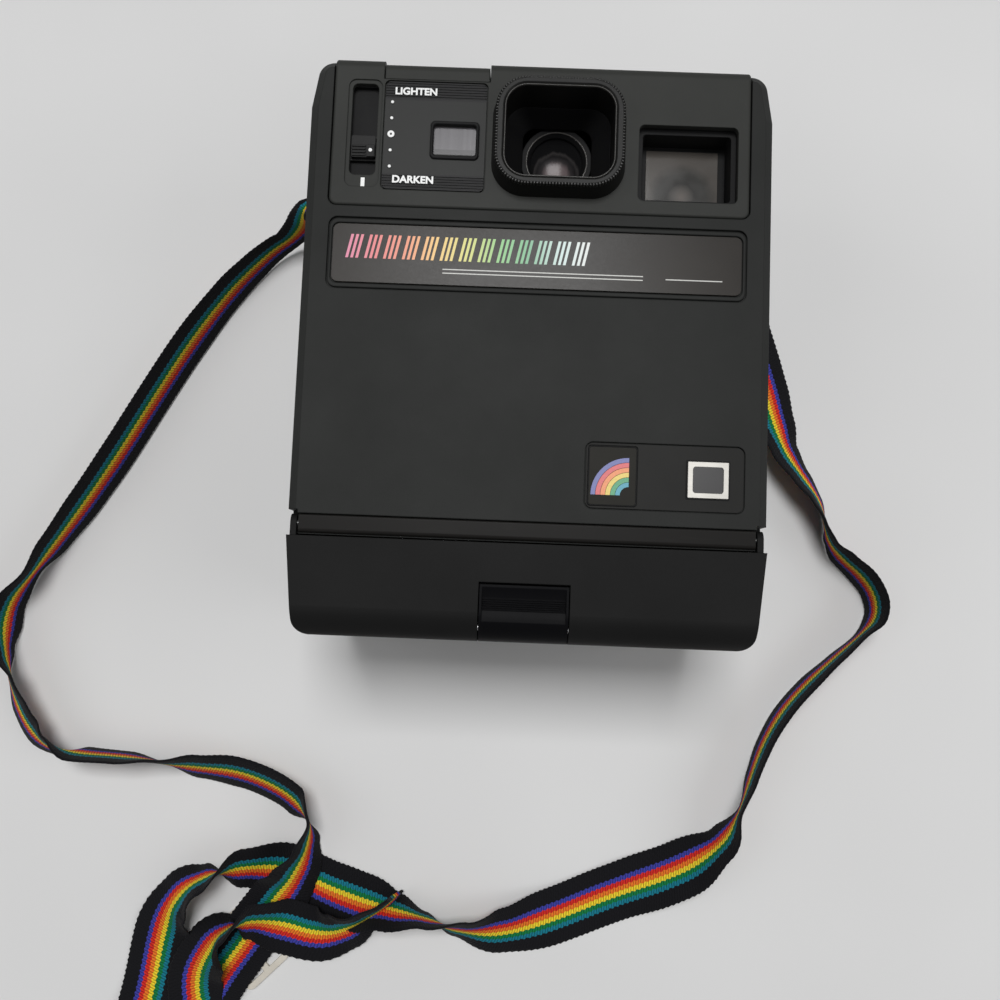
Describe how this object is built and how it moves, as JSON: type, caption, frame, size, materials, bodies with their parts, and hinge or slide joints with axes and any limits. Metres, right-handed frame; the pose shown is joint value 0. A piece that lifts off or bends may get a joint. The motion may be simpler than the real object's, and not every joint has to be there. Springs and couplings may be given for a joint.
{
  "type": "instant camera",
  "caption": "Upright instant film camera lying on its back, with a square lens hood, viewfinder, exposure slider, hinged lower cover and striped neck strap.",
  "frame": {"origin": "centre of the camera's back, on the surface that it lies on", "axes": "+Z along the lens, +Y towards the viewfinder end, +X to the right of somebody facing the lens"},
  "size_m": [0.3523, 0.3724, 0.112],
  "materials": {
    "case_black": "fine matt",
    "panel_black": "satin",
    "gloss_black": "polished",
    "frame_black": "matt",
    "scale_grey": "satin",
    "badge_black": "polished",
    "tile_colours": "printed",
    "silver": "brushed",
    "glass": "polished",
    "cell_glass": "polished",
    "mirror": "polished",
    "steel": "bright",
    "spring_steel": "bright",
    "brass": "bright",
    "gear_plastic": "smooth",
    "board_green": "satin",
    "component_dark": "smooth",
    "battery_wrap": "foil",
    "film_plastic": "satin",
    "strap_web": "woven",
    "roller_rubber": "ground"
  },
  "bodies": {
    "body": {"rear_housing": "case_black", "front_cover": "case_black", "trim_band": "gloss_black", "hinge_pins": "steel", "control_panel": "panel_black", "flash_socket": "panel_black", "flash_contacts": "brass", "scale_plate": "scale_grey", "photocell_window": "cell_glass", "slider_track": "frame_black", "nameplate": "gloss_black", "badge_panel": "badge_black", "colour_tile": "tile_colours", "metal_badge": "silver", "lens_hood": "panel_black", "hood_baffle": "frame_black", "lens_retainer": "frame_black", "lens_barrel": "frame_black", "front_lens": "glass", "rear_lens": "glass", "shutter_plate": "frame_black", "viewfinder_tunnel": "frame_black", "viewfinder_front_lens": "glass", "viewfinder_rear_lens": "glass", "eyepiece": "frame_black", "film_tray": "frame_black", "film_pack": "film_plastic", "pack_springs": "spring_steel", "light_box": "frame_black", "mirrors": "mirror", "battery": "battery_wrap", "battery_contacts": "brass", "circuit_board": "board_green", "board_parts": "component_dark", "button_spring": "spring_steel", "case_screws": "steel", "strap_lugs": "case_black", "strap_left": "strap_web", "strap_right": "strap_web", "slide_buckle": "silver"},
    "exposure_slider": {"exposure_slider": "panel_black"},
    "shutter_button": {"shutter_button": "gloss_black"},
    "left_blade": {"shutter_blade_left": "spring_steel"},
    "right_blade": {"shutter_blade_right": "spring_steel"},
    "battery_hatch": {"battery_hatch": "case_black"},
    "lower_cover": {"lower_cover": "case_black", "roller_frame": "steel", "drive_motor": "steel", "roller_springs": "spring_steel", "latch_pin": "steel", "latch_spring": "spring_steel"},
    "door_latch": {"door_latch": "case_black"},
    "drive_roller": {"drive_roller": "roller_rubber", "roller_gear": "gear_plastic"},
    "pressure_roller": {"pressure_roller": "steel", "pressure_gear": "gear_plastic"},
    "reduction_gear": {"reduction_gear": "gear_plastic"},
    "motor_pinion": {"motor_pinion": "brass"}
  },
  "joints": [
    {"name": "exposure_slide", "type": "slide", "parent": "body", "child": "exposure_slider", "axis": [0, 1, 0], "range_m": [-0.00522, 0.01566]},
    {"name": "shutter_press", "type": "slide", "parent": "body", "child": "shutter_button", "axis": [0, -1, 0], "range_m": [0, 0.0025], "stiffness_N_per_m": 400, "springref_m": -0.001, "deforming": ["button_spring"]},
    {"name": "left_blade_swing", "type": "hinge", "parent": "body", "child": "left_blade", "pos_m": [-0.0094, 0.0764, 0.074], "axis": [0, 0, 1], "range_deg": [0, 34]},
    {"name": "right_blade_swing", "type": "hinge", "parent": "body", "child": "right_blade", "pos_m": [0.0206, 0.0764, 0.074], "axis": [0, 0, 1], "range_deg": [-34, 0]},
    {"name": "battery_hatch_hinge", "type": "hinge", "parent": "body", "child": "battery_hatch", "pos_m": [-0.0718, -0.02215, 0.04235], "axis": [0, 1, 0], "range_deg": [0, 100]},
    {"name": "lower_cover_hinge", "type": "hinge", "parent": "body", "child": "lower_cover", "pos_m": [0, -0.0569, 0.1008], "axis": [-1, 0, 0], "range_deg": [0, 80]},
    {"name": "latch_press", "type": "hinge", "parent": "lower_cover", "child": "door_latch", "pos_m": [0, -0.0863, 0.0996], "axis": [-1, 0, 0], "range_deg": [0, 6], "stiffness_Nm_per_rad": 0.5, "springref_deg": -5.73, "deforming": ["latch_spring"]},
    {"name": "drive_roller_spin", "type": "hinge", "parent": "lower_cover", "child": "drive_roller", "pos_m": [0.0056, -0.07, 0.0176], "axis": [1, 0, 0], "continuous": true},
    {"name": "pressure_roller_spin", "type": "hinge", "parent": "lower_cover", "child": "pressure_roller", "pos_m": [0.0056, -0.07, 0.0084], "axis": [1, 0, 0], "continuous": true},
    {"name": "reduction_gear_spin", "type": "hinge", "parent": "lower_cover", "child": "reduction_gear", "pos_m": [-0.0525, -0.0755, 0.03231], "axis": [1, 0, 0], "continuous": true},
    {"name": "motor_spin", "type": "hinge", "parent": "lower_cover", "child": "motor_pinion", "pos_m": [-0.0525, -0.0745, 0.04797], "axis": [1, 0, 0], "continuous": true}
  ],
  "couplings": [
    {"joint": "right_blade_swing", "follows": "left_blade_swing", "ratio": -1},
    {"joint": "pressure_roller_spin", "follows": "drive_roller_spin", "ratio": -1},
    {"joint": "reduction_gear_spin", "follows": "drive_roller_spin", "ratio": -0.41176},
    {"joint": "motor_spin", "follows": "drive_roller_spin", "ratio": 1}
  ]
}
